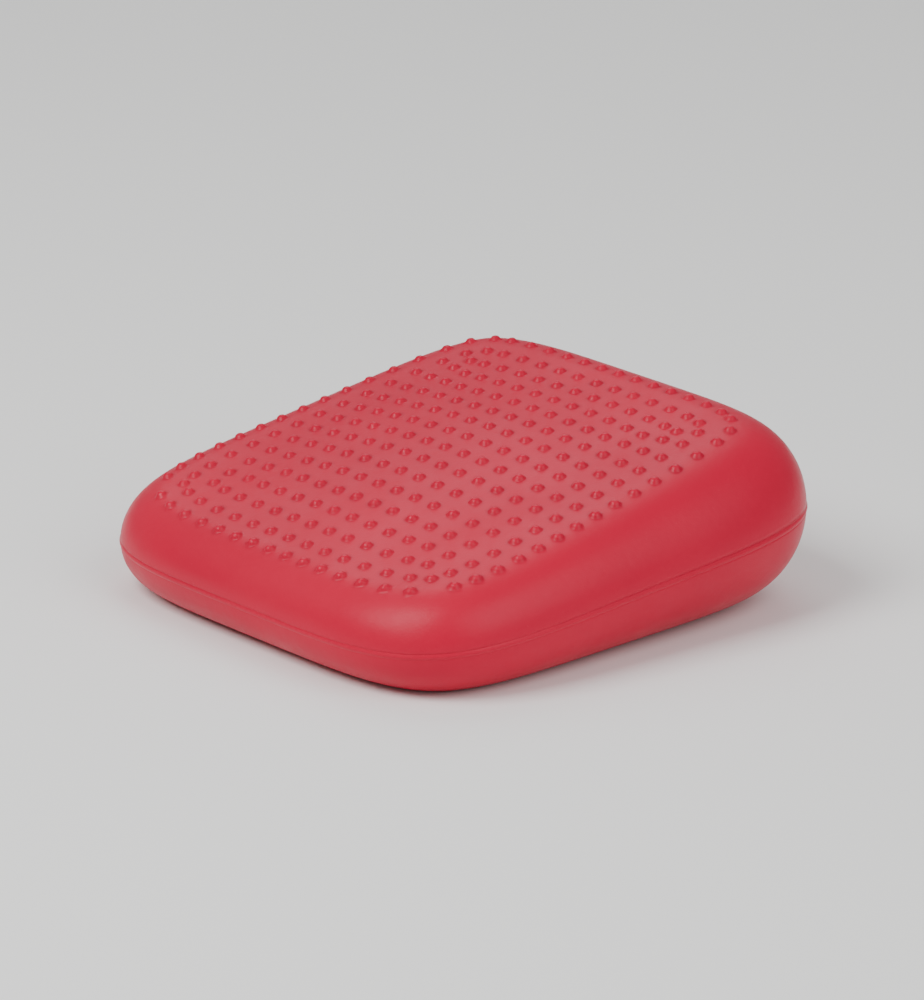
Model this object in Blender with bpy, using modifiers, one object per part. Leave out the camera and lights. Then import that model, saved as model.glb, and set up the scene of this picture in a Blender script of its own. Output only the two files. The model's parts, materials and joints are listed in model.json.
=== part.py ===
"""Wobble cushion: an air-filled wedge seat on a rounded-square footprint, with studs and a valve.

The air bladder is made in zones: a flat base, a lower side wall, a welded seam line, an upper
side wall and a studded seat. The base stays put. The seam line tilts from side to side on it,
the seat tilts to and fro on the seam line, and the two side walls flex between them.

Frame, in metres: the origin is on the resting surface under the middle of the cushion and +Z is
up. The thin front edge is towards -Y, the thick back edge towards +Y, and +X is across.
"""

import math

import bmesh
import bpy
import numpy as np
from mathutils import Matrix, Vector

# Driving dimensions
HALF_SIDE = 0.125         # half of the rounded square, at its widest line
SQUARENESS = 4.5          # exponent of the outline: 2 is a circle, large is a square
HALF_HEIGHT = 0.032       # half of the thickness in the middle
WEDGE = 0.1               # growth of the half thickness per metre towards the back
CROWN = 0.006             # rise of the inflated seat above its plane, in the middle
WALL = 0.003              # thickness of the skin
GAP = 0.0003              # clearance between pieces that touch

STUD_ROWS = 17            # rows of studs: the outer one on each side is on the rounded band
STUD_FOOT = 0.0055        # width of a stud where it leaves the skin
STUD_TOP = 0.0031         # width of its top
STUD_HEIGHT = 0.002
STUD_CELL = 0.00006       # area of the smallest cell that holds a stud, in square metres

SEAT_EDGE = math.radians(68)     # profile angle where the seat meets the upper side wall
BASE_EDGE = math.radians(-65)    # profile angle where the base meets the lower side wall
WALL_STEPS = 5
BASE_STEPS = 2

BEAD_RADIUS = 0.0016      # welded seam line round the widest part
BEAD_DEPTH = 0.0011       # depth of its middle below the surface

VALVE_ANGLE = math.radians(-21)  # profile angle of the valve, in the middle of the back wall
VALVE_SEGMENTS = 32
PAD_RADIUS = 0.013        # thickened wall behind the valve
PAD_TOP = -0.0024         # heights below are along the valve's axis, outwards from the wall
PAD_BOTTOM = -0.0065
LIP_RADIUS = 0.0105
LIP_TOP = -0.0003
LIP_BOTTOM = -0.0019
CUP_RADIUS = 0.0068
CUP_FLOOR = -0.005
BARREL_RADIUS = 0.0085
BARREL_BOTTOM = -0.0065
NECK_RADIUS = 0.0062
NECK_BORE = 0.0032
SHOULDER = -0.0095        # where the plug's bore widens into the core's pocket
POCKET_RADIUS = 0.0046
VALVE_BOTTOM = -0.018
NEEDLE_RADIUS = 0.0006    # channel that a pump needle goes through
FUNNEL_RADIUS = 0.0018    # its lead-in
FUNNEL_DEPTH = 0.0016
PLUG_HEAD_RADIUS = 0.0064
PLUG_HEAD_HEIGHT = 0.0017
PLUG_STEM_CHAMFER = 0.0006
GRIP_LENGTH = 0.0078
GRIP_WIDTH = 0.0022
GRIP_TOP = -0.0007
EDGE_ROUND = 0.0005       # small chamfers on the valve pieces

PIVOT = Vector((0.0, 0.0, HALF_HEIGHT))


# Shape of the bladder

def outline(theta):
    """Point and outward normal of the rounded square |x|^n + |y|^n = a^n at the angle theta."""
    across, along = np.cos(theta), np.sin(theta)
    spread = np.abs(across) ** SQUARENESS + np.abs(along) ** SQUARENESS
    radius = HALF_SIDE / spread ** (1 / SQUARENESS)
    point = np.stack([radius * across, radius * along], axis=-1)
    slope = np.sign(point) * (np.abs(point) / HALF_SIDE) ** (SQUARENESS - 1)
    normal = slope / np.linalg.norm(slope, axis=-1, keepdims=True)
    return point, normal


def skin(theta, phi, depth=0.0):
    """Point of the side profile, at a depth below the surface.

    The profile is half a round: at phi -90 degrees it is on the flat base, at 0 on the widest
    line and at 90 on the seat. Its radius is the half thickness at that place in the wedge.
    """
    edge, normal = outline(theta)
    inset = 1 - np.cos(phi)
    distance = ((HALF_HEIGHT + WEDGE * edge[..., 1]) * inset
                / (1 + WEDGE * normal[..., 1] * inset))
    plan = edge - normal * (distance + depth * np.cos(phi))[..., None]
    radius = HALF_HEIGHT + WEDGE * (edge[..., 1] - normal[..., 1] * distance)
    height = radius * (1 + np.sin(phi)) - depth * np.sin(phi)
    return np.concatenate([plan, height[..., None]], axis=-1)


def seat_middle():
    """Middle and half size of the seat inside its rounded band, where the profile is level."""
    full = math.pi / 2
    front = skin(np.float64(-full), full)
    back = skin(np.float64(full), full)
    side = skin(np.float64(0.0), full)
    centre = np.array([0.0, (front[1] + back[1]) / 2])
    half = np.array([side[0], (back[1] - front[1]) / 2])
    return centre, half


def outline_angle(u, v):
    """Angle on the outline for square coordinates u and v from -1 to 1.

    The angles are spaced so that the lines of the square grid meet the sides nearly straight,
    and only the corners fan out.
    """
    centre, half = seat_middle()
    ring = np.maximum(np.maximum(np.abs(u), np.abs(v)), 1e-9)
    across, along = u / ring, v / ring
    flat = half[0] / HALF_SIDE
    across = across * (flat + (1 - flat) * np.abs(across) ** 3)
    along = along * (flat + (1 - flat) * np.abs(along) ** 3)
    along = along + centre[1] / HALF_SIDE * (1 - along ** 2)
    return np.arctan2(along, across)


def perimeter_angles():
    """Angles of the points round a square grid with one cell for each stud."""
    side = np.linspace(-1, 1, STUD_ROWS + 1)[:-1]
    one = np.ones_like(side)
    across = np.concatenate([one, -side, -one, side])
    along = np.concatenate([side, one, -side, -one])
    return outline_angle(across, along)


def seat_point(u, v, depth=0.0):
    """Point of the seat for square coordinates u and v from -1 to 1.

    The outer row of cells is a band that follows the side profile from the seat's edge up to
    phi 90 degrees. Inside it the grid goes over smoothly from the rounded square to straight
    rows, on the wedge's plane with the crown added.
    """
    full = math.pi / 2
    ring = np.maximum(np.abs(u), np.abs(v))
    theta = outline_angle(u, v)
    band_start = 1 - 2 / STUD_ROWS
    climb = np.clip((1 - ring) / (1 - band_start), 0, 1)
    band = skin(theta, SEAT_EDGE + (full - SEAT_EDGE) * climb, depth)

    centre, half = seat_middle()
    square = np.stack([u, v], axis=-1) / np.maximum(ring, 1e-9)[..., None] * half
    rounded = skin(theta, np.full_like(theta, full))[..., :2] - centre
    share = np.clip(ring / band_start, 0, 1)
    roundness = (share ** 4)[..., None]
    plan = centre + share[..., None] * ((1 - roundness) * square + roundness * rounded)
    level = np.clip(np.abs(np.stack([u, v], axis=-1)) / band_start, 0, 1)
    crown = CROWN * np.prod(1 - level ** 2, axis=-1) ** 1.5
    height = 2 * (HALF_HEIGHT + WEDGE * plan[..., 1]) + crown - depth
    middle = np.concatenate([plan, height[..., None]], axis=-1)
    return np.where((ring > band_start)[..., None], band, middle)


def bead_edge(theta):
    """Profile angle at which a side wall stops, clear of the seam line."""
    edge, _ = outline(theta)
    return np.arcsin((BEAD_RADIUS + 2 * GAP) / (HALF_HEIGHT + WEDGE * edge[:, 1]))


def gap_angle(theta):
    """Half of the clearance between two zones of the skin, as a profile angle."""
    edge, _ = outline(theta)
    return GAP / 2 / (HALF_HEIGHT + WEDGE * edge[:, 1])


# Blender helpers

def clear_scene():
    """Remove every object that is in the file."""
    for old in list(bpy.data.objects):
        bpy.data.objects.remove(old, do_unlink=True)


def make_collection(name):
    """Add a collection to the scene."""
    collection = bpy.data.collections.new(name)
    bpy.context.scene.collection.children.link(collection)
    return collection


def make_material(name, color, roughness):
    """Plain Principled material."""
    material = bpy.data.materials.new(name)
    material.use_nodes = True
    shader = material.node_tree.nodes["Principled BSDF"]
    shader.inputs["Base Color"].default_value = (*color, 1)
    shader.inputs["Roughness"].default_value = roughness
    shader.inputs["Metallic"].default_value = 0.0
    return material


def make_empty(name, place, parent=None):
    """Empty on a joint's axis, at a place in its parent's frame, for the pieces that it moves."""
    empty = bpy.data.objects.new(name, None)
    empty.empty_display_size = 0.02
    parts.objects.link(empty)
    empty.parent = parent
    empty.matrix_basis = place
    return empty


def finish_piece(name, shape, material, collection, parent=None):
    """Put a bmesh in an object under its parent, with faces outwards and round faces smooth."""
    bmesh.ops.recalc_face_normals(shape, faces=shape.faces)
    mesh = bpy.data.meshes.new(name)
    shape.to_mesh(mesh)
    shape.free()
    mesh.shade_smooth()
    mesh.set_sharp_from_angle(angle=math.radians(35))
    piece = bpy.data.objects.new(name, mesh)
    if material:
        mesh.materials.append(material)
    collection.objects.link(piece)
    piece.parent = parent
    return piece


def hide_cutter(cutter):
    """Show a cutter as a wire only."""
    cutter.hide_render = True
    cutter.display_type = "WIRE"


def lofted(rings, ends):
    """Closed body through a stack of rings: ends "joined" to each other, or "capped"."""
    shape = bmesh.new()
    stack = [[shape.verts.new(point) for point in ring] for ring in rings]
    steps = list(zip(stack, stack[1:]))
    if ends == "joined":
        steps.append((stack[-1], stack[0]))
    else:
        shape.faces.new(stack[0])
        shape.faces.new(stack[-1])
    for low, high in steps:
        for i in range(len(low)):
            after = (i + 1) % len(low)
            shape.faces.new((low[i], low[after], high[after], high[i]))
    return shape


def skin_zone(start, end, steps, ends):
    """Zone of the skin between two profile angles: outer rings up, then inner rings down."""
    shares = np.linspace(0, 1, steps + 1)
    angles = [start + (end - start) * share for share in shares]
    outer = [skin(rim_angles, phi) for phi in angles]
    inner = [skin(rim_angles, phi, WALL) for phi in reversed(angles)]
    return lofted(outer + inner, ends)


def cylinder(name, radius, low, high, parent):
    """Cutter or pad along the valve's axis."""
    shape = bmesh.new()
    bmesh.ops.create_cone(shape, cap_ends=True, segments=VALVE_SEGMENTS, radius1=radius,
                          radius2=radius, depth=high - low,
                          matrix=Matrix.Translation((0, 0, (low + high) / 2)))
    cutter = finish_piece(name, shape, None, cutters, parent)
    hide_cutter(cutter)
    return cutter


def boolean(piece, other, operation):
    """Join another shape to a piece, or cut it out."""
    modifier = piece.modifiers.new(other.name, "BOOLEAN")
    modifier.operation = operation
    modifier.object = other
    modifier.solver = "EXACT"


def turned(name, profile, closed, material, parent):
    """Piece turned about the valve's axis, from (radius, height) points down its outer side."""
    shape = bmesh.new()
    points = [shape.verts.new((radius, 0, height)) for radius, height in profile]
    for first, second in zip(points, points[1:]):
        shape.edges.new((first, second))
    if closed:
        shape.edges.new((points[-1], points[0]))
    mesh = bpy.data.meshes.new(name)
    shape.to_mesh(mesh)
    shape.free()
    mesh.materials.append(material)
    piece = bpy.data.objects.new(name, mesh)
    parts.objects.link(piece)
    piece.parent = parent
    screw = piece.modifiers.new("Turn", "SCREW")
    screw.steps = VALVE_SEGMENTS
    screw.render_steps = VALVE_SEGMENTS
    screw.use_merge_vertices = True
    screw.merge_threshold = 0.00001
    screw.use_smooth_shade = True
    return piece


# Bladder pieces

def make_base_skin():
    """Flat face that the cushion rests on, with its rounded rim."""
    start = np.full_like(rim_angles, -math.pi / 2)
    shape = skin_zone(start, BASE_EDGE - gap_angle(rim_angles), BASE_STEPS, "capped")
    return finish_piece("base_skin", shape, red_skin, parts)


def make_lower_side_wall():
    """Flexing wall from the base to the seam line, with the thickened seat for the valve."""
    start = BASE_EDGE + gap_angle(rim_angles)
    shape = skin_zone(start, -bead_edge(rim_angles), WALL_STEPS, "joined")
    wall = finish_piece("lower_side_wall", shape, red_skin, parts)
    boolean(wall, cylinder("valve_pad", PAD_RADIUS, PAD_BOTTOM, PAD_TOP, valve_axis), "UNION")
    lip_cut = cylinder("valve_lip_cut", LIP_RADIUS + GAP, LIP_BOTTOM - GAP, PAD_RADIUS, valve_axis)
    boolean(wall, lip_cut, "DIFFERENCE")
    barrel_cut = cylinder("valve_barrel_cut", BARREL_RADIUS + GAP, -PAD_RADIUS, PAD_RADIUS,
                          valve_axis)
    boolean(wall, barrel_cut, "DIFFERENCE")
    return wall


def make_seam_bead():
    """Round welded line on the widest part of the bladder."""
    curve = bpy.data.curves.new("seam_bead", "CURVE")
    curve.dimensions = "3D"
    curve.bevel_depth = BEAD_RADIUS
    curve.bevel_resolution = 2
    line = curve.splines.new("POLY")
    points = skin(rim_angles, np.zeros_like(rim_angles), BEAD_DEPTH) - np.array(PIVOT)
    line.points.add(len(points) - 1)
    for spot, point in zip(line.points, points):
        spot.co = (*point, 1)
    line.use_cyclic_u = True
    curve.materials.append(red_skin)
    bead = bpy.data.objects.new("seam_bead", curve)
    parts.objects.link(bead)
    bead.parent = side_axis
    return bead


def make_upper_side_wall():
    """Flexing wall from the seam line to the seat."""
    end = SEAT_EDGE - gap_angle(rim_angles)
    shape = skin_zone(bead_edge(rim_angles), end, WALL_STEPS, "joined")
    bmesh.ops.translate(shape, verts=shape.verts, vec=-PIVOT)
    return finish_piece("upper_side_wall", shape, red_skin, parts, fore_aft_axis)


def square_up(face, width, rise):
    """Move a face's four corners to a square of the given width, raised along its normal."""
    middle = face.calc_center_median()
    normal = face.normal.copy()
    corners = [loop.vert for loop in face.loops]
    along = (corners[0].co + corners[1].co - corners[2].co - corners[3].co).normalized()
    across = normal.cross(along)
    places = ((1, -1), (1, 1), (-1, 1), (-1, -1))
    for corner, (side, turn) in zip(corners, places):
        corner.co = middle + (along * side + across * turn) * (width / 2) + normal * rise


def make_top_skin():
    """Seating face: a crowned grid with a stud in each cell.

    The corner cells have none, nor do the cells that are squeezed small at the back corners.
    """
    shape = bmesh.new()
    bmesh.ops.create_grid(shape, x_segments=STUD_ROWS, y_segments=STUD_ROWS, size=1)
    corner_cell = 1 - 2 / STUD_ROWS
    studs = []
    for face in shape.faces:
        middle = face.calc_center_median()
        if min(abs(middle.x), abs(middle.y)) < corner_cell:
            studs.append(face)
    doubled = bmesh.ops.extrude_face_region(shape, geom=shape.faces[:], use_keep_orig=True)
    inner = {item for item in doubled["geom"] if isinstance(item, bmesh.types.BMVert)}
    for vert in shape.verts:
        depth = WALL if vert in inner else 0.0
        vert.co = seat_point(np.float64(vert.co.x), np.float64(vert.co.y), depth)
    bmesh.ops.recalc_face_normals(shape, faces=shape.faces)

    studs = [face for face in studs if face.calc_area() > STUD_CELL]
    bmesh.ops.inset_individual(shape, faces=studs, thickness=STUD_FOOT / 2)
    shape.normal_update()
    for face in studs:
        square_up(face, STUD_FOOT, 0.0)
    bmesh.ops.inset_individual(shape, faces=studs, thickness=(STUD_FOOT - STUD_TOP) / 2)
    shape.normal_update()
    for face in studs:
        square_up(face, STUD_TOP, STUD_HEIGHT)
    bmesh.ops.translate(shape, verts=shape.verts, vec=-PIVOT)
    return finish_piece("top_skin", shape, red_skin, parts, fore_aft_axis)


# Valve pieces

def make_valve_socket():
    """Moulded socket: a lip in the wall, a cup for the plug's head and a pocket for the core."""
    profile = [
        (CUP_RADIUS, LIP_TOP),
        (LIP_RADIUS - EDGE_ROUND, LIP_TOP),
        (LIP_RADIUS, LIP_TOP - EDGE_ROUND),
        (LIP_RADIUS, LIP_BOTTOM),
        (BARREL_RADIUS, LIP_BOTTOM),
        (BARREL_RADIUS, BARREL_BOTTOM),
        (NECK_RADIUS, BARREL_BOTTOM),
        (NECK_RADIUS, VALVE_BOTTOM),
        (POCKET_RADIUS, VALVE_BOTTOM),
        (POCKET_RADIUS, SHOULDER),
        (NECK_BORE, SHOULDER),
        (NECK_BORE, CUP_FLOOR),
        (CUP_RADIUS, CUP_FLOOR),
    ]
    return turned("valve_socket", profile, True, red_skin, valve_axis)


def make_valve_core():
    """Soft insert that closes by itself round a pump needle."""
    radius = POCKET_RADIUS - GAP
    top = SHOULDER - GAP
    profile = [
        (FUNNEL_RADIUS, top),
        (radius - EDGE_ROUND, top),
        (radius, top - EDGE_ROUND),
        (radius, VALVE_BOTTOM),
        (NEEDLE_RADIUS, VALVE_BOTTOM),
        (NEEDLE_RADIUS, top - FUNNEL_DEPTH),
    ]
    return turned("valve_core", profile, True, black_rubber, valve_axis)


def make_valve_plug():
    """Push-in stopper with a blade to pull it out by."""
    stem = NECK_BORE - GAP
    underside = CUP_FLOOR + GAP
    top = underside + PLUG_HEAD_HEIGHT
    bottom = SHOULDER + GAP
    profile = [
        (0, top),
        (PLUG_HEAD_RADIUS - EDGE_ROUND, top),
        (PLUG_HEAD_RADIUS, top - EDGE_ROUND),
        (PLUG_HEAD_RADIUS, underside),
        (stem, underside),
        (stem, bottom + PLUG_STEM_CHAMFER),
        (stem - PLUG_STEM_CHAMFER, bottom),
        (0, bottom),
    ]
    plug = turned("valve_plug", profile, False, grey_plastic, valve_axis)
    shape = bmesh.new()
    bmesh.ops.create_cube(shape, size=1)
    low = top - PLUG_HEAD_HEIGHT / 2
    bmesh.ops.scale(shape, verts=shape.verts, vec=(GRIP_LENGTH, GRIP_WIDTH, GRIP_TOP - low))
    bmesh.ops.translate(shape, verts=shape.verts, vec=(0, 0, (GRIP_TOP + low) / 2))
    bmesh.ops.bevel(shape, geom=shape.edges[:], offset=EDGE_ROUND, segments=2, profile=0.5,
                    affect="EDGES")
    grip = finish_piece("plug_grip", shape, None, cutters, valve_axis)
    hide_cutter(grip)
    boolean(plug, grip, "UNION")
    return plug


clear_scene()
parts = make_collection("Wobble cushion")
cutters = make_collection("Cutters")

red_skin = make_material("Red vinyl", (0.50, 0.022, 0.040), 0.4)
black_rubber = make_material("Black rubber", (0.02, 0.02, 0.02), 0.75)
grey_plastic = make_material("Grey plastic", (0.32, 0.33, 0.34), 0.45)

rim_angles = perimeter_angles()
side_axis = make_empty("tilt_side_axis", Matrix.Translation(PIVOT))
fore_aft_axis = make_empty("tilt_fore_aft_axis", Matrix.Identity(4), side_axis)
valve_spot = Vector(skin(np.float64(math.pi / 2), np.float64(VALVE_ANGLE)))
valve_place = (Matrix.Translation(valve_spot - PIVOT)
               @ Matrix.Rotation(VALVE_ANGLE - math.pi / 2, 4, "X"))
valve_axis = make_empty("valve_slide_axis", valve_place, side_axis)

make_base_skin()
make_lower_side_wall()
make_seam_bead()
make_upper_side_wall()
make_top_skin()
make_valve_socket()
make_valve_core()
make_valve_plug()
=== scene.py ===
"""Wobble cushion: the finished look of an air-filled wedge seat of soft red vinyl.

The bladder is two moulded shells, a lower one with a ribbed base and an upper one with a
studded seat, welded at a fine line round the widest part. A plug valve sits in a dish in the
middle of the back wall. Everything is in metres, in the frame of the solid model:
+Z up, the thin edge towards -Y, the thick edge towards +Y.
"""

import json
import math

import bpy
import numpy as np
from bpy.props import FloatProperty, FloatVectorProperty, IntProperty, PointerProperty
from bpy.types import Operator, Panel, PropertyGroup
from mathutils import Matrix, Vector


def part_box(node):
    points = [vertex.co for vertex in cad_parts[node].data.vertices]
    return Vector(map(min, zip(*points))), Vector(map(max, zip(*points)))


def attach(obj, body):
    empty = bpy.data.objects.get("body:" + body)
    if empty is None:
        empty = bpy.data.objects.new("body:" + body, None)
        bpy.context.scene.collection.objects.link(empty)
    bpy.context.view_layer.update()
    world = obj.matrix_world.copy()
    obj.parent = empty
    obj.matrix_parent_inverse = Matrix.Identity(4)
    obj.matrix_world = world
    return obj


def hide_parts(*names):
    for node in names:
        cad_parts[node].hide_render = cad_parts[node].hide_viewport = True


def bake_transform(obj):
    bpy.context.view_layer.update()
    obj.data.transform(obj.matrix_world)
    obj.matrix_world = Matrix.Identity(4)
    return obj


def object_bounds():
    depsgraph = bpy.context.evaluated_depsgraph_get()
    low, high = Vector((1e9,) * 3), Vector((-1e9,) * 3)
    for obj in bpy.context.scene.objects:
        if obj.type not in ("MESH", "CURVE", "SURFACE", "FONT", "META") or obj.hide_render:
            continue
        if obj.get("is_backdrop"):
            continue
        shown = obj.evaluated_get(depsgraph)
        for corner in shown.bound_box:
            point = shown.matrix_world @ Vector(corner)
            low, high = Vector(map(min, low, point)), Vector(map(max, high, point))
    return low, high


bl_info = {
    "name": "Wobble cushion",
    "version": (1, 0, 0),
    "blender": (4, 5, 0),
    "location": "3D View > Sidebar > Cushion",
    "description": "Builds an air-filled wedge cushion with a studded seat and a plug valve",
    "category": "Object",
}

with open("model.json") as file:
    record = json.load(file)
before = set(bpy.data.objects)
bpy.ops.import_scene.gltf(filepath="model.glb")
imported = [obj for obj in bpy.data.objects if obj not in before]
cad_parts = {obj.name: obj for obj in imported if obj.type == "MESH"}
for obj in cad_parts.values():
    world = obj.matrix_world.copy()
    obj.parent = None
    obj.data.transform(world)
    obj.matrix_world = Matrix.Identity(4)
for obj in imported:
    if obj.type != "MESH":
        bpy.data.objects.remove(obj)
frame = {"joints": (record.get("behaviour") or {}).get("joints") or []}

JOINTS = {joint["name"]: joint for joint in frame["joints"]}
SEAM_LOW, SEAM_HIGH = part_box("seam_bead")
PIVOT_HEIGHT = JOINTS["tilt_side"]["pos_m"][2]
VALVE_OUT = np.array(JOINTS["plug_pull"]["axis"])
SEAM_THICKNESS = 0.0032    # of the solid model's round seam line
SEAM_STANDS = 0.0005       # how far that line stands out from the widest part

LEVEL = math.pi / 2        # profile angle of the level seat; minus this is the base
SEAT_EDGE = math.radians(68)  # profile angle of the outer edge of the studded field
STUD_CELL = 0.00006        # area of the smallest cell that holds a stud
GRIP_START = 0.3           # share of the base's size inside which it is smooth, without ribs
SKIN_END = 0.0009          # distance from the widest line to the edge of each shell
INNER_STEP = 4             # the inner surface has a point for each so many of the outer one
SEAM_HALF_WIDTH = 0.0016   # the weld's ridge, to each side of the widest line
SEAM_RISE = 0.00045        # height of the ridge above its edges
SEAM_SINK = 0.00006        # how deep the ridge's edges lie under the shells' surface
SEAM_BACK = 0.0014         # half width of the weld's flat back
SEAM_DEPTH = 0.0016        # depth of that back

# Places along the valve's axis are measured from the wall, outwards.
VALVE_SPAN = 0.17          # half of the back wall's square coordinate with finer lines
VALVE_REACH = 0.03         # points deeper than this aren't at the valve
DISH_FLOOR = -0.0022       # the dish round the valve
DISH_INNER = 0.0109        # radius of its floor, then of its brim
DISH_OUTER = 0.0128
PAD_FLOOR = -0.0065        # inner face of the thickened wall behind the valve
PAD_INNER = 0.0132
PAD_OUTER = 0.017
BORE = 0.0088              # radius of the hole that the valve's barrel goes through
BORE_DEPTH = (-0.012, 0.006)

# Profiles of the turned valve pieces, as (radius, height) points.
SOCKET_PROFILE = [
    (0.0068, -0.0012), (0.0076, -0.0003), (0.0105, -0.0003), (0.0105, -0.0019),
    (0.0085, -0.0019), (0.0085, -0.0065), (0.0062, -0.0065), (0.0062, -0.018),
    (0.0046, -0.018), (0.0046, -0.0095), (0.0032, -0.0095), (0.0032, -0.005),
    (0.0068, -0.005), (0.0068, -0.0012)]
CORE_PROFILE = [
    (0.0018, -0.0098), (0.0043, -0.0098), (0.0043, -0.018), (0.0006, -0.018),
    (0.0006, -0.0114), (0.0018, -0.0098)]
PLUG_PROFILE = [
    (0, -0.003), (0.0052, -0.003), (0.0064, -0.0036), (0.0064, -0.0047),
    (0.0029, -0.0047), (0.0029, -0.0086), (0.0023, -0.0092), (0, -0.0092)]
BLADE_LENGTH = 0.0078
BLADE_WIDTH = 0.0022
BLADE_LOW = -0.0042
BLADE_HIGH = -0.0007

VIEW_AZIMUTH = 50
VIEW_ELEVATION = 18
VIEW_LENS = 230
VIEW_TALL = 0.44           # height of the frame at the target
# Name, turn from the camera's azimuth, elevation, distance, size and power of each light.
LIGHTS = (("key", -60, 50, 1.9, 1.1, 32),
          ("fill", 50, 38, 2.2, 1.8, 24),
          ("back", 185, 48, 2.2, 1.4, 10))
SKY_STRENGTH = 0.36


class CushionSizes(PropertyGroup):
    """Sizes of the cushion, in metres."""

    half_side: FloatProperty(
        name="Half side", description="Half of the rounded square at its widest line",
        default=SEAM_HIGH.x - SEAM_STANDS, unit="LENGTH")
    half_height: FloatProperty(
        name="Half height", description="Half of the thickness in the middle",
        default=PIVOT_HEIGHT, unit="LENGTH")
    wedge: FloatProperty(
        name="Wedge", description="Growth of the half thickness per metre towards the back",
        default=(SEAM_HIGH.z - SEAM_LOW.z - SEAM_THICKNESS) / (2 * (SEAM_HIGH.x - SEAM_STANDS)))
    squareness: FloatProperty(
        name="Squareness", description="Exponent of the outline: 2 is a circle", default=4.5)
    crown: FloatProperty(
        name="Crown", description="Rise of the inflated seat above its plane",
        default=0.006, unit="LENGTH")
    wall: FloatProperty(
        name="Wall", description="Thickness of the vinyl", default=0.003, unit="LENGTH")
    stud_rows: IntProperty(
        name="Stud rows", description="Rows of studs each way", default=17)
    stud_radius: FloatProperty(
        name="Stud radius", description="Radius of a stud's foot", default=0.003, unit="LENGTH")
    stud_height: FloatProperty(
        name="Stud height", description="Height of a stud", default=0.002, unit="LENGTH")
    rib_pitch: FloatProperty(
        name="Rib pitch", description="Distance between the ribs of the base",
        default=0.0085, unit="LENGTH")
    rib_depth: FloatProperty(
        name="Rib depth", description="Depth of the grooves between the ribs",
        default=0.0008, unit="LENGTH")


class CushionColors(PropertyGroup):
    """Colours of the cushion and its stage."""

    vinyl: FloatVectorProperty(
        name="Vinyl", description="Soft red vinyl of the bladder", subtype="COLOR",
        size=3, min=0, max=1, default=(0.53, 0.001, 0.033))
    plug: FloatVectorProperty(
        name="Plug", description="Grey plastic of the valve plug", subtype="COLOR",
        size=3, min=0, max=1, default=(0.30, 0.31, 0.32))
    rubber: FloatVectorProperty(
        name="Core", description="Black rubber of the valve core", subtype="COLOR",
        size=3, min=0, max=1, default=(0.018, 0.018, 0.019))
    floor: FloatVectorProperty(
        name="Floor", description="Pale studio floor", subtype="COLOR",
        size=3, min=0, max=1, default=(0.90, 0.90, 0.89))


# Shape of the bladder

def outline(sizes, theta):
    """Point and outward normal of the rounded square |x|^n + |y|^n = a^n at the angle theta."""
    n = sizes.squareness
    across, along = np.cos(theta), np.sin(theta)
    radius = sizes.half_side / (np.abs(across) ** n + np.abs(along) ** n) ** (1 / n)
    point = np.stack([radius * across, radius * along], axis=-1)
    slope = np.sign(point) * (np.abs(point) / sizes.half_side) ** (n - 1)
    return point, slope / np.linalg.norm(slope, axis=-1, keepdims=True)


def wall_point(sizes, theta, phi, depth=0.0):
    """Point of the side, at a depth below the surface.

    The profile is half a round whose radius is the half thickness at that place in the wedge:
    phi is -90 degrees on the base, 0 on the widest line and 90 on the seat.
    """
    theta, phi = np.broadcast_arrays(theta, phi)
    edge, normal = outline(sizes, theta)
    inset = 1 - np.cos(phi)
    radius = sizes.half_height + sizes.wedge * edge[..., 1]
    distance = radius * inset / (1 + sizes.wedge * normal[..., 1] * inset)
    radius = radius - sizes.wedge * normal[..., 1] * distance
    plan = edge - normal * (distance + depth * np.cos(phi))[..., None]
    height = radius * (1 + np.sin(phi)) - depth * np.sin(phi)
    return np.concatenate([plan, height[..., None]], axis=-1)


def level_middle(sizes):
    """Middle and half size of the part of the seat, or of the base, that is level."""
    front, right, back = (wall_point(sizes, turn, LEVEL) for turn in (-LEVEL, 0.0, LEVEL))
    centre = np.array([0.0, (front[1] + back[1]) / 2])
    return centre, np.array([right[0], (back[1] - front[1]) / 2])


def outline_angle(sizes, u, v):
    """Angle on the outline for square coordinates u and v, spaced so that the lines of the
    grid meet the sides nearly straight and only the corners fan out."""
    centre, half = level_middle(sizes)
    ring = np.maximum(np.maximum(np.abs(u), np.abs(v)), 1e-9)
    across, along = u / ring, v / ring
    flat = half[0] / sizes.half_side
    across = across * (flat + (1 - flat) * np.abs(across) ** 3)
    along = along * (flat + (1 - flat) * np.abs(along) ** 3)
    return np.arctan2(along + centre[1] / sizes.half_side * (1 - along ** 2), across)


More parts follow.
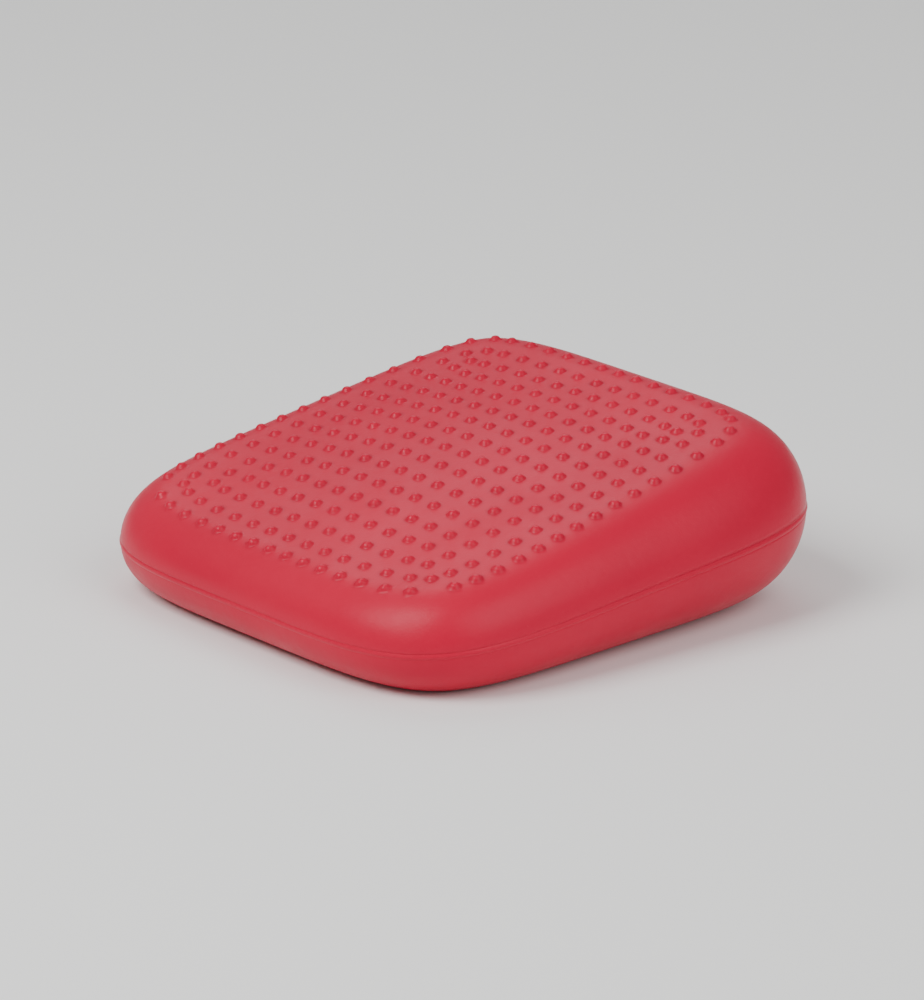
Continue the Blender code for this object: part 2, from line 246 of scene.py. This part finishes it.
def seat_point(sizes, u, v, depth=0.0):
    """Point of the studded field for square coordinates u and v from -1 to 1, without studs.

    The outer row of cells is a band on the side profile. Inside it the lines go over from the
    rounded square to straight rows, on the wedge's plane, and the crown is a product of two
    arches, one across and one along.
    """
    band_start = 1 - 2 / sizes.stud_rows
    ring = np.maximum(np.abs(u), np.abs(v))
    theta = outline_angle(sizes, u, v)
    climb = np.clip((1 - ring) / (1 - band_start), 0, 1)
    band = wall_point(sizes, theta, SEAT_EDGE + (LEVEL - SEAT_EDGE) * climb, depth)

    centre, half = level_middle(sizes)
    square = np.stack([u, v], axis=-1) / np.maximum(ring, 1e-9)[..., None] * half
    rounded = wall_point(sizes, theta, LEVEL)[..., :2] - centre
    share = np.clip(ring / band_start, 0, 1)[..., None]
    plan = centre + share * ((1 - share ** 4) * square + share ** 4 * rounded)
    level = np.clip(np.abs(np.stack([u, v], axis=-1)) / band_start, 0, 1)
    crown = sizes.crown * np.prod(1 - level ** 2, axis=-1) ** 1.5
    height = 2 * (sizes.half_height + sizes.wedge * plan[..., 1]) + crown - depth
    middle = np.concatenate([plan, height[..., None]], axis=-1)
    return np.where((ring > band_start)[..., None], band, middle)


def square_perimeter(lines):
    """Square coordinates of the points round a grid with these lines, anticlockwise from
    the corner at u 1, v -1."""
    side = lines[:-1]
    one = np.ones_like(side)
    across = np.concatenate([one, -side, -one, side])
    along = np.concatenate([side, one, -side, -one])
    return across, along


def smooth_step(value):
    """0 below 0, 1 above 1 and a smooth S between."""
    value = np.clip(value, 0, 1)
    return value * value * (3 - 2 * value)


# Meshes from grids

def grid_faces(first, second, closed=True):
    """Quads between two rows of vertex numbers, outwards if the second row lies to the left."""
    if closed:
        first, second = (np.append(row, row[0]) for row in (first, second))
    return np.stack([first[:-1], first[1:], second[1:], second[:-1]], axis=-1)


def strip_faces(rows, closed=True):
    """Quads between each row of vertex numbers and the next."""
    return np.concatenate([grid_faces(a, b, closed) for a, b in zip(rows, rows[1:])])


def make_piece(name, points, faces, material, attributes=None):
    """Mesh object at the origin from points and lists of faces, shaded smooth."""
    mesh = bpy.data.meshes.new(name)
    polygons = [polygon for group in faces for polygon in np.asarray(group).tolist()]
    mesh.from_pydata(points.tolist(), [], polygons)
    mesh.shade_smooth()
    for key, values in (attributes or {}).items():
        layer = mesh.attributes.new(key, "FLOAT", "POINT")
        layer.data.foreach_set("value", values.astype(np.float32))
    mesh.materials.append(material)
    piece = bpy.data.objects.new(name, mesh)
    bpy.context.scene.collection.objects.link(piece)
    return piece


# The two shells

def stud_lines(sizes):
    """Grid lines of the studded field: close together over each stud, apart between them."""
    half = np.array([0.0, 0.13, 0.24, 0.32, 0.39, 0.45, 0.53, 0.74])
    cell = np.concatenate([-half[:0:-1], half, [1.0]])
    rows = sizes.stud_rows
    centres = (2 * np.arange(rows) + 1 - rows) / rows
    lines = (centres[:, None] + cell / rows).ravel()
    return np.concatenate([[-1.0], lines])


def surface_normals(grid):
    """Unit normals of a grid of points, from the differences along its rows and columns."""
    normal = np.cross(np.gradient(grid, axis=1), np.gradient(grid, axis=0))
    return normal / np.linalg.norm(normal, axis=-1, keepdims=True)


def stud_relief(sizes, u, v, points):
    """Share of a stud's height at each point: 1 - r^3.2 to the power 1.7, r from its middle.

    Each cell of the field holds a stud, apart from the corner cells and those that are
    squeezed small at the back corners. A cell's area is half the cross product of its
    diagonals.
    """
    rows = sizes.stud_rows
    cell_u = np.clip(np.floor((u + 1) * rows / 2), 0, rows - 1)
    cell_v = np.clip(np.floor((v + 1) * rows / 2), 0, rows - 1)
    centre_u = (2 * cell_u + 1) / rows - 1
    centre_v = (2 * cell_v + 1) / rows - 1
    centre = seat_point(sizes, centre_u, centre_v)
    radius = np.linalg.norm(points - centre, axis=-1) / sizes.stud_radius
    relief = np.clip(1 - radius ** 3.2, 0, 1) ** 1.7
    reach = 1 / rows
    rising = (seat_point(sizes, centre_u + reach, centre_v + reach)
              - seat_point(sizes, centre_u - reach, centre_v - reach))
    falling = (seat_point(sizes, centre_u + reach, centre_v - reach)
               - seat_point(sizes, centre_u - reach, centre_v + reach))
    area = np.linalg.norm(np.cross(rising, falling), axis=-1) / 2
    corner = np.minimum(np.abs(centre_u), np.abs(centre_v)) > 1 - 1.5 / rows
    bare = corner | (area < STUD_CELL)
    return np.where(bare, 0.0, relief), np.where(bare, 9.0, radius)


def seam_angle(sizes, theta, reach):
    """Profile angle at a distance along the wall from the widest line."""
    edge, _ = outline(sizes, theta)
    return reach / (sizes.half_height + sizes.wedge * edge[..., 1])


def upper_shell(sizes):
    """Outer and inner surface of the upper shell, its faces and its relief."""
    lines = stud_lines(sizes)
    v, u = np.meshgrid(lines, lines, indexing="ij")
    field = seat_point(sizes, u, v)
    relief, radius = stud_relief(sizes, u, v, field)
    field = field + surface_normals(field) * (relief * sizes.stud_height)[..., None]
    count = len(lines)
    numbers = np.arange(count * count).reshape(count, count)
    field_faces = strip_faces(list(numbers), closed=False)
    border = np.concatenate([numbers[:-1, -1], numbers[-1, :0:-1],
                             numbers[:0:-1, 0], numbers[0, :-1]])

    around_u, around_v = square_perimeter(lines)
    theta = outline_angle(sizes, around_u, around_v)
    end = seam_angle(sizes, theta, SKIN_END)
    wall = [wall_point(sizes, theta, SEAT_EDGE + (end - SEAT_EDGE) * step)
            for step in np.linspace(0, 1, 19)[1:]]
    points, rows = stack_rows(field.reshape(-1, 3), wall)
    faces = [field_faces, strip_faces([border] + rows)[:, ::-1]]

    coarse_u, coarse_v, theta = (values[::INNER_STEP] for values in (around_u, around_v, theta))
    end = seam_angle(sizes, theta, SKIN_END)
    inner = [wall_point(sizes, theta, end + (SEAT_EDGE - end) * step, sizes.wall)
             for step in np.linspace(0, 1, 9)]
    inner += [seat_point(sizes, coarse_u * ring, coarse_v * ring, sizes.wall)
              for ring in np.linspace(1, 0.08, 12)[1:]]
    centre = seat_point(sizes, np.zeros(1), np.zeros(1), sizes.wall)
    points, inner_rows = stack_rows(points, inner + [centre])
    faces += [joining_faces(rows[-1], inner_rows[0])[:, ::-1],
              strip_faces(inner_rows[:-1])[:, ::-1],
              fan_faces(inner_rows[-2], len(points) - 1)[:, ::-1]]
    extra = np.zeros(len(points) - relief.size)
    # Painted shade: weight of a darker ring round the foot of each stud, where the foot meets
    # the seat.
    stud_foot_shade = np.exp(-((radius - 1.05) / 0.3) ** 2)
    attributes = {"polish": np.concatenate([relief.ravel(), extra]),
                  "stud_foot_shade": np.concatenate([stud_foot_shade.ravel(), extra])}
    return points, faces, attributes


def stack_rows(start, rings):
    """All points in one array, and the vertex numbers of each ring."""
    points = np.concatenate([start, *rings])
    ends = len(start) + np.cumsum([0] + [len(ring) for ring in rings])
    return points, [np.arange(first, last) for first, last in zip(ends, ends[1:])]


def joining_faces(fine, coarse):
    """Faces between a ring and one with fewer points, each to a whole number of the first."""
    share = len(fine) // len(coarse)
    starts = np.arange(len(coarse)) * share
    along = fine[(starts[:, None] + np.arange(share + 1)) % len(fine)]
    return np.concatenate([along, np.roll(coarse, -1)[:, None], coarse[:, None]], axis=1)


def fan_faces(ring, tip):
    """Triangles from a ring to one point."""
    after = np.roll(ring, -1)
    return np.stack([ring, after, np.full_like(ring, tip)], axis=-1)


def valve_frame():
    """Directions at the valve: across, up along the wall, and outwards along its axis."""
    across = np.array([-1.0, 0.0, 0.0])
    return across, np.cross(VALVE_OUT, across), VALVE_OUT


def valve_spot(sizes):
    """Where the valve's axis meets the surface of the back wall."""
    phi = math.asin(VALVE_OUT[2])
    return wall_point(sizes, LEVEL, phi)


def press_dish(points, spot, floor, inner_radius, outer_radius):
    """Press a round, flat dish into points round the valve, with a smooth wall."""
    across, up, out = valve_frame()
    offset = points - spot
    side, rise, height = offset @ across, offset @ up, offset @ out
    radius = np.hypot(side, rise)
    share = 1 - smooth_step((radius - inner_radius) / (outer_radius - inner_radius))
    share = np.where(height < -VALVE_REACH, 0, share)
    return points + (share * (floor - height))[..., None] * out


def lower_shell(sizes):
    """Outer and inner surface of the lower shell, and its faces."""
    spot = valve_spot(sizes)
    lines = np.linspace(-1, 1, 129)
    around_u, around_v = square_perimeter(lines)
    fine = np.linspace(-VALVE_SPAN, VALVE_SPAN, 56)
    keep = ~((around_v == 1) & (np.abs(around_u) < VALVE_SPAN))
    around_u = np.append(around_u[keep], fine)
    around_v = np.append(around_v[keep], np.ones_like(fine))
    theta = np.sort(outline_angle(sizes, around_u, around_v))

    centre, half = level_middle(sizes)
    middle = np.array([*centre, 0])
    rim = wall_point(sizes, theta, -LEVEL)
    shares = np.union1d(np.linspace(0.06, GRIP_START, 5), np.linspace(GRIP_START, 1, 57))
    outward = (1 - shares) * half[0] / sizes.rib_pitch
    groove = smooth_step((np.cos(2 * math.pi * outward) - 0.1) / 0.5)
    ribbed = smooth_step((shares - GRIP_START) / 0.02) * smooth_step((0.995 - shares) / 0.01)
    depths = sizes.rib_depth * np.where(shares < GRIP_START, 1, (1 - groove) * ribbed)
    base = []
    for share, depth in zip(shares, depths):
        ring = middle + share * (rim - middle)
        ring[:, 2] = depth
        base.append(ring)

    end = -seam_angle(sizes, theta, SKIN_END)
    valve_phi = math.asin(VALVE_OUT[2])
    steps = np.union1d(np.linspace(-LEVEL, 0, 46)[1:-1],
                       valve_phi + np.linspace(-0.31, 0.31, 46))
    shares = (steps + LEVEL) / LEVEL
    wall = [wall_point(sizes, theta, -LEVEL + (end + LEVEL) * share) for share in shares]
    wall.append(wall_point(sizes, theta, end))
    wall = [press_dish(row, spot, DISH_FLOOR, DISH_INNER, DISH_OUTER) for row in wall]
    inner = [wall_point(sizes, theta, end + (-LEVEL - end) * step, sizes.wall)
             for step in np.linspace(0, 1, 24)]
    inner = [press_dish(row, spot, PAD_FLOOR, PAD_INNER, PAD_OUTER) for row in inner]
    lid = inner[-1]
    for share in (0.6, 0.2):
        ring = middle + share * (lid - middle)
        ring[:, 2] = sizes.wall
        inner.append(ring)

    low_tip = np.array([[*centre, depths[0]]])
    high_tip = np.array([[*centre, sizes.wall]])
    points, rows = stack_rows(low_tip, base + wall + inner + [high_tip])
    rows = rows[:-1]
    faces = [strip_faces(rows), fan_faces(rows[0], 0)[:, ::-1],
             fan_faces(rows[-1], len(points) - 1)]
    return points, faces


def cut_bore(piece, spot, radius, low, high):
    """Cut a round hole along the valve's axis with an exact Boolean, and keep the result."""
    across, up, out = valve_frame()
    turn = np.linspace(0, 2 * math.pi, 72, endpoint=False)
    circle = np.cos(turn)[:, None] * across + np.sin(turn)[:, None] * up
    points = np.concatenate([spot + circle * radius + out * level for level in (low, high)])
    bottom = np.arange(len(turn))
    top = bottom + len(turn)
    faces = [strip_faces([bottom, top]), bottom[None, ::-1], top[None]]
    cutter = make_piece("bore_cutter", points, faces, piece.data.materials[0])
    modifier = piece.modifiers.new("Bore", "BOOLEAN")
    modifier.operation = "DIFFERENCE"
    modifier.object = cutter
    modifier.solver = "EXACT"
    keep_modifiers(piece)
    bpy.data.objects.remove(cutter)


def keep_modifiers(piece):
    """Replace a piece's mesh with what its modifiers make of it."""
    graph = bpy.context.evaluated_depsgraph_get()
    made = bpy.data.meshes.new_from_object(piece.evaluated_get(graph),
                                           preserve_all_data_layers=True, depsgraph=graph)
    piece.modifiers.clear()
    piece.data = made


# Seam

def seam_strip(sizes):
    """Closed strip along the weld: a low smooth ridge outside and a flat back inside.

    The ridge is (1 - t^2)^2 across its width, t from -1 to 1, and its edges are just under
    the shells' surface.
    """
    lines = np.linspace(-1, 1, 181)
    theta = outline_angle(sizes, *square_perimeter(lines))
    across = np.linspace(-1, 1, 15)
    ridge = SEAM_RISE * (1 - across ** 2) ** 2 - SEAM_SINK
    profile = [(t * SEAM_HALF_WIDTH, -rise) for t, rise in zip(across, ridge)]
    profile += [(SEAM_BACK, SEAM_DEPTH), (-SEAM_BACK, SEAM_DEPTH)]
    rows = [wall_point(sizes, theta, seam_angle(sizes, theta, reach), depth)
            for reach, depth in profile]
    points = np.concatenate(rows)
    count = len(theta)
    numbers = [count * i + np.arange(count) for i in range(len(rows))]
    return points, [strip_faces(numbers + numbers[:1])]


# Valve pieces

def rounded(profile, radius, steps=5):
    """Profile of (radius, height) points with each inner corner made an arc-like curve.

    Each corner is a quadratic curve between points a distance before and after it, the
    distance being the given radius or a little under half of the shorter side.
    """
    profile = np.array(profile)
    result = [profile[0]]
    for before, corner, after in zip(profile, profile[1:], profile[2:]):
        back, ahead = before - corner, after - corner
        reach = min(radius, 0.45 * np.linalg.norm(back), 0.45 * np.linalg.norm(ahead))
        start = corner + back / np.linalg.norm(back) * reach
        end = corner + ahead / np.linalg.norm(ahead) * reach
        for t in np.linspace(0, 1, steps):
            result.append((1 - t) ** 2 * start + 2 * t * (1 - t) * corner + t ** 2 * end)
    result.append(profile[-1])
    return np.array(result)


def turned(name, profile, spot, material, closed, segments=96):
    """Piece turned about the valve's axis from (radius, height) points, height outwards."""
    across, up, out = valve_frame()
    turn = np.linspace(0, 2 * math.pi, segments, endpoint=False)
    circle = np.cos(turn)[:, None] * across + np.sin(turn)[:, None] * up
    rings = [spot + circle * radius + out * height for radius, height in profile]
    if closed:
        points = np.concatenate(rings)
        rows = [segments * i + np.arange(segments) for i in range(len(rings))]
        return make_piece(name, points, [strip_faces(rows + rows[:1])[:, ::-1]], material)
    tips = [spot + out * profile[0][1], spot + out * profile[-1][1]]
    points, rows = stack_rows(np.array(tips[:1]), rings[1:-1] + [np.array(tips[1:])])
    faces = [strip_faces(rows[:-1])[:, ::-1], fan_faces(rows[0], 0),
             fan_faces(rows[-2], len(points) - 1)[:, ::-1]]
    return make_piece(name, points, faces, material)


def rounded_bar(name, length, width, low, high, spot, material):
    """Bar with rounded edges: the surface |x|^6 + |y|^6 + |z|^6 = 1, scaled to its sizes."""
    across, up, out = valve_frame()
    tall = np.linspace(-LEVEL, LEVEL, 25)[1:-1]
    turn = np.linspace(0, 2 * math.pi, 64, endpoint=False)
    lift, spin = np.meshgrid(tall, turn, indexing="ij")
    ray = np.stack([np.cos(lift) * np.cos(spin), np.cos(lift) * np.sin(spin),
                    np.sin(lift)], axis=-1)
    ray = ray / (np.abs(ray) ** 6).sum(axis=-1, keepdims=True) ** (1 / 6)
    scaled = ray * np.array([length / 2, width / 2, (high - low) / 2])
    middle = spot + out * (low + high) / 2
    place = np.stack([across, up, out])
    rings = [middle + ring @ place for ring in scaled]
    tips = [middle - out * (high - low) / 2, middle + out * (high - low) / 2]
    points, rows = stack_rows(np.array(tips[:1]), rings + [np.array(tips[1:])])
    faces = [strip_faces(rows[:-1]), fan_faces(rows[0], 0)[:, ::-1],
             fan_faces(rows[-2], len(points) - 1)]
    return make_piece(name, points, faces, material)


# Materials

def new_material(name):
    """Empty Principled material: its nodes, its links and its shader."""
    material = bpy.data.materials.new(name)
    material.use_nodes = True
    tree = material.node_tree
    return material, tree, tree.nodes["Principled BSDF"]


def add_noise(tree, scale, detail, roughness=0.5):
    """Noise texture on object coordinates."""
    coordinates = tree.nodes.new("ShaderNodeTexCoord")
    noise = tree.nodes.new("ShaderNodeTexNoise")
    noise.inputs["Scale"].default_value = scale
    noise.inputs["Detail"].default_value = detail
    noise.inputs["Roughness"].default_value = roughness
    tree.links.new(coordinates.outputs["Object"], noise.inputs["Vector"])
    return noise.outputs["Fac"]


def add_range(tree, value, low, high, to_low, to_high):
    """Map a value from one range to another."""
    node = tree.nodes.new("ShaderNodeMapRange")
    node.inputs["From Min"].default_value = low
    node.inputs["From Max"].default_value = high
    node.inputs["To Min"].default_value = to_low
    node.inputs["To Max"].default_value = to_high
    tree.links.new(value, node.inputs["Value"])
    return node.outputs["Result"]


def add_math(tree, operation, first, second):
    """Math node between two sockets, or a socket and a number."""
    node = tree.nodes.new("ShaderNodeMath")
    node.operation = operation
    for socket, value in zip(node.inputs, (first, second)):
        if isinstance(value, (int, float)):
            socket.default_value = value
        else:
            tree.links.new(value, socket)
    return node.outputs["Value"]


def add_mix(tree, factor, first, second):
    """Mix of two colours, each a socket or a colour."""
    node = tree.nodes.new("ShaderNodeMix")
    node.data_type = "RGBA"
    tree.links.new(factor, node.inputs["Factor"])
    for socket, value in zip((node.inputs[6], node.inputs[7]), (first, second)):
        if isinstance(value, tuple):
            socket.default_value = (*value, 1)
        else:
            tree.links.new(value, socket)
    return node.outputs[2]


def add_bump(tree, height, distance, strength, before=None):
    """Bump node, on top of another one if given."""
    node = tree.nodes.new("ShaderNodeBump")
    node.inputs["Distance"].default_value = distance
    node.inputs["Strength"].default_value = strength
    tree.links.new(height, node.inputs["Height"])
    if before:
        tree.links.new(before, node.inputs["Normal"])
    return node.outputs["Normal"]


def add_attribute(tree, name):
    """Value of a point attribute."""
    node = tree.nodes.new("ShaderNodeAttribute")
    node.attribute_name = name
    return node.outputs["Fac"]


def scaled_color(color, share):
    """Colour made lighter or darker."""
    return tuple(min(1.0, channel * share) for channel in color)


def vinyl_material(colors):
    """Soft satin vinyl: a moulded grain, slight orange peel, handling marks and painted shade
    round the foot of each stud.
    """
    material, tree, shader = new_material("vinyl")
    red = tuple(colors.vinyl)
    broad = add_range(tree, add_noise(tree, 9, 2), 0.35, 0.65, 0, 1)
    cloudy = add_mix(tree, broad, scaled_color(red, 0.95), scaled_color(red, 1.05))
    # Painted shade round the foot of each stud: the red darkened towards 0.62 of itself, in
    # patches.
    stud_foot_shade = add_math(tree, "MULTIPLY", add_attribute(tree, "stud_foot_shade"),
                    add_range(tree, add_noise(tree, 60, 4), 0.4, 0.7, 0.1, 0.55))
    foot_shaded = add_mix(tree, stud_foot_shade, cloudy, scaled_color(red, 0.62))
    speck = add_range(tree, add_noise(tree, 900, 2), 0.68, 0.78, 0, 0.35)
    base = add_mix(tree, speck, foot_shaded, (min(1, red[0] * 1.15), red[1] + 0.03, red[2] + 0.035))
    tree.links.new(base, shader.inputs["Base Color"])

    marks = add_range(tree, add_noise(tree, 26, 5, 0.65), 0.35, 0.7, 0.33, 0.46)
    polish = add_math(tree, "MULTIPLY", add_attribute(tree, "polish"), 0.07)
    rough = add_math(tree, "SUBTRACT", marks, polish)
    tree.links.new(rough, shader.inputs["Roughness"])
    shader.inputs["Specular IOR Level"].default_value = 0.22

    grain = add_bump(tree, add_noise(tree, 1300, 3, 0.6), 0.00012, 0.55)
    peel = add_bump(tree, add_noise(tree, 240, 2), 0.0004, 0.25, grain)
    tree.links.new(peel, shader.inputs["Normal"])
    return material


def plug_material(colors):
    """Moulded plastic with a fine spark grain and a tone a little lighter or darker in patches.
    """
    material, tree, shader = new_material("plug_plastic")
    grey = tuple(colors.plug)
    broad = add_range(tree, add_noise(tree, 120, 3), 0.35, 0.65, 0, 1)
    base = add_mix(tree, broad, scaled_color(grey, 0.93), scaled_color(grey, 1.07))
    tree.links.new(base, shader.inputs["Base Color"])
    rough = add_range(tree, add_noise(tree, 300, 4), 0.3, 0.7, 0.36, 0.5)
    tree.links.new(rough, shader.inputs["Roughness"])
    grain = add_bump(tree, add_noise(tree, 3500, 2), 0.00006, 0.5)
    tree.links.new(grain, shader.inputs["Normal"])
    return material


def rubber_material(colors):
    """Matt black rubber with a bloom of talc."""
    material, tree, shader = new_material("core_rubber")
    black = tuple(colors.rubber)
    bloom = add_range(tree, add_noise(tree, 400, 4), 0.45, 0.75, 0, 0.6)
    base = add_mix(tree, bloom, black, scaled_color(black, 2.2))
    tree.links.new(base, shader.inputs["Base Color"])
    rough = add_range(tree, add_noise(tree, 500, 3), 0.3, 0.7, 0.62, 0.8)
    tree.links.new(rough, shader.inputs["Roughness"])
    grain = add_bump(tree, add_noise(tree, 2500, 3), 0.00008, 0.6)
    tree.links.new(grain, shader.inputs["Normal"])
    return material


def floor_material(colors):
    """Matt studio floor."""
    material, _, shader = new_material("studio_floor")
    shader.inputs["Base Color"].default_value = (*colors.floor, 1)
    shader.inputs["Roughness"].default_value = 0.85
    shader.inputs["Specular IOR Level"].default_value = 0.25
    return material


MATERIAL_MAKERS = {"vinyl": vinyl_material, "plug_plastic": plug_material,
                   "core_rubber": rubber_material}


def shared_material(name):
    """Material made once and then found again by its name."""
    colors = bpy.context.scene.cushion_colors
    return bpy.data.materials.get(name) or MATERIAL_MAKERS[name](colors)


# Operators

class CUSHION_OT_lower_skin(Operator):
    """Build the lower shell: ribbed base, lower wall and the dish for the valve"""

    bl_idname = "cushion.lower_skin"
    bl_label = "Lower skin"

    def execute(self, context):
        sizes = context.scene.cushion_sizes
        skin = make_piece("lower_skin", *lower_shell(sizes), shared_material("vinyl"))
        cut_bore(skin, valve_spot(sizes), BORE, *BORE_DEPTH)
        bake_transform(skin)
        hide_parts("base_skin", "lower_side_wall")
        return {"FINISHED"}


class CUSHION_OT_upper_skin(Operator):
    """Build the upper shell: upper wall and studded seat"""

    bl_idname = "cushion.upper_skin"
    bl_label = "Upper skin"

    def execute(self, context):
        sizes = context.scene.cushion_sizes
        points, faces, attributes = upper_shell(sizes)
        skin = make_piece("upper_skin", points, faces, shared_material("vinyl"), attributes)
        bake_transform(skin)
        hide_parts("upper_side_wall", "top_skin")
        return {"FINISHED"}


class CUSHION_OT_seam(Operator):
    """Build the welded line between the shells"""

    bl_idname = "cushion.seam"
    bl_label = "Seam"

    def execute(self, context):
        points, faces = seam_strip(context.scene.cushion_sizes)
        seam = make_piece("seam_line", points, faces, shared_material("vinyl"))
        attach(seam, "rim")
        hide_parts("seam_bead")
        return {"FINISHED"}


class CUSHION_OT_valve(Operator):
    """Build the valve: socket, core and plug"""

    bl_idname = "cushion.valve"
    bl_label = "Valve"

    def execute(self, context):
        spot = valve_spot(context.scene.cushion_sizes)
        piece = turned("socket", rounded(SOCKET_PROFILE, 0.0006)[:-1], spot,
                       shared_material("vinyl"), closed=True)
        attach(piece, "rim")
        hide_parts("valve_socket")

        piece = turned("core", rounded(CORE_PROFILE, 0.0005)[:-1], spot,
                       shared_material("core_rubber"), closed=True)
        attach(piece, "rim")
        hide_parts("valve_core")

        plug = turned("plug", rounded(PLUG_PROFILE, 0.0004), spot,
                      shared_material("plug_plastic"), closed=False)
        blade = rounded_bar("blade", BLADE_LENGTH, BLADE_WIDTH, BLADE_LOW, BLADE_HIGH, spot,
                            shared_material("plug_plastic"))
        modifier = plug.modifiers.new("Blade", "BOOLEAN")
        modifier.operation = "UNION"
        modifier.object = blade
        keep_modifiers(plug)
        bpy.data.objects.remove(blade)
        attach(plug, "plug")
        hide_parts("valve_plug")
        return {"FINISHED"}


class CUSHION_OT_stage(Operator):
    """Make the floor, the lights and the camera"""

    bl_idname = "cushion.stage"
    bl_label = "Stage"

    def execute(self, context):
        colors = context.scene.cushion_colors
        points, faces = sweep(14.0, 6.0, 2.5)
        floor = make_piece("studio_floor", points, faces, floor_material(colors))
        floor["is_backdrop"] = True
        low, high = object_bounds()
        target = (low + high) / 2
        for name, turn, elevation, distance, size, power in LIGHTS:
            add_light(name, target, VIEW_AZIMUTH + turn, elevation, distance, size, power)
        world = bpy.data.worlds.new("studio")
        world.use_nodes = True
        background = world.node_tree.nodes["Background"]
        background.inputs["Color"].default_value = (1, 1, 1, 1)
        background.inputs["Strength"].default_value = SKY_STRENGTH
        context.scene.world = world
        add_camera(target, VIEW_AZIMUTH, VIEW_ELEVATION, VIEW_LENS, VIEW_TALL)
        return {"FINISHED"}


def direction(azimuth, elevation):
    """Unit vector from the object towards a viewer: azimuth 0 is in front, 90 at the right."""
    turn, rise = math.radians(azimuth), math.radians(elevation)
    return Vector((math.sin(turn) * math.cos(rise), -math.cos(turn) * math.cos(rise),
                   math.sin(rise)))


def sweep(width, depth, radius):
    """Floor and backdrop in one: a flat floor that turns up in a quarter round at the back.

    The back is on the far side of the camera, which looks from the front right.
    """
    turn = np.linspace(0, LEVEL, 17)
    bend = np.stack([depth + radius * np.sin(turn), radius * (1 - np.cos(turn))], axis=-1)
    profile = np.concatenate([[[-depth, 0.0]], bend, [[depth + radius, width / 2]]])
    away = -direction(VIEW_AZIMUTH, 0)
    side = Vector((away.y, -away.x, 0))
    left = [Vector(away) * along + side * (-width / 2) + Vector((0, 0, rise))
            for along, rise in profile]
    right = [point + side * width for point in left]
    points = np.array([list(point) for point in left + right])
    count = len(profile)
    rows = [np.arange(count), count + np.arange(count)]
    return points, [strip_faces(rows, closed=False)[:, ::-1]]


def add_light(name, target, azimuth, elevation, distance, size, power):
    """Soft square light that looks at the target."""
    light = bpy.data.lights.new(name, "AREA")
    light.shape = "SQUARE"
    light.size = size
    light.energy = power
    lamp = bpy.data.objects.new(name, light)
    bpy.context.scene.collection.objects.link(lamp)
    away = direction(azimuth, elevation)
    lamp.location = target + away * distance
    lamp.rotation_euler = (-away).to_track_quat("-Z", "Y").to_euler()


def add_camera(target, azimuth, elevation, lens, tall):
    """Camera at the viewing angle, far enough for the frame to be so tall at the target."""
    camera = bpy.data.cameras.new("camera")
    camera.lens = lens
    viewer = bpy.data.objects.new("camera", camera)
    bpy.context.scene.collection.objects.link(viewer)
    away = direction(azimuth, elevation)
    viewer.location = target + away * (tall * lens / camera.sensor_width)
    viewer.rotation_euler = (-away).to_track_quat("-Z", "Y").to_euler()
    bpy.context.scene.camera = viewer


class CUSHION_PT_panel(Panel):
    """Buttons for the pieces, and their sizes and colours"""

    bl_label = "Wobble cushion"
    bl_idname = "CUSHION_PT_panel"
    bl_space_type = "VIEW_3D"
    bl_region_type = "UI"
    bl_category = "Cushion"

    def draw(self, context):
        for operator in OPERATORS:
            self.layout.operator(operator.bl_idname)
        for group in (context.scene.cushion_sizes, context.scene.cushion_colors):
            for key in group.__annotations__:
                self.layout.prop(group, key)


OPERATORS = (CUSHION_OT_lower_skin, CUSHION_OT_upper_skin, CUSHION_OT_seam, CUSHION_OT_valve,
             CUSHION_OT_stage)
CLASSES = (CushionSizes, CushionColors, *OPERATORS, CUSHION_PT_panel)


def register():
    for item in CLASSES:
        bpy.utils.register_class(item)
    bpy.types.Scene.cushion_sizes = PointerProperty(type=CushionSizes)
    bpy.types.Scene.cushion_colors = PointerProperty(type=CushionColors)


def unregister():
    del bpy.types.Scene.cushion_colors
    del bpy.types.Scene.cushion_sizes
    for item in reversed(CLASSES):
        bpy.utils.unregister_class(item)


def main():
    """Register the add-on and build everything."""
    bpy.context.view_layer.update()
    register()
    bpy.ops.cushion.lower_skin()
    bpy.ops.cushion.upper_skin()
    bpy.ops.cushion.seam()
    bpy.ops.cushion.valve()
    bpy.ops.cushion.stage()


if __name__ == "__main__":
    main()
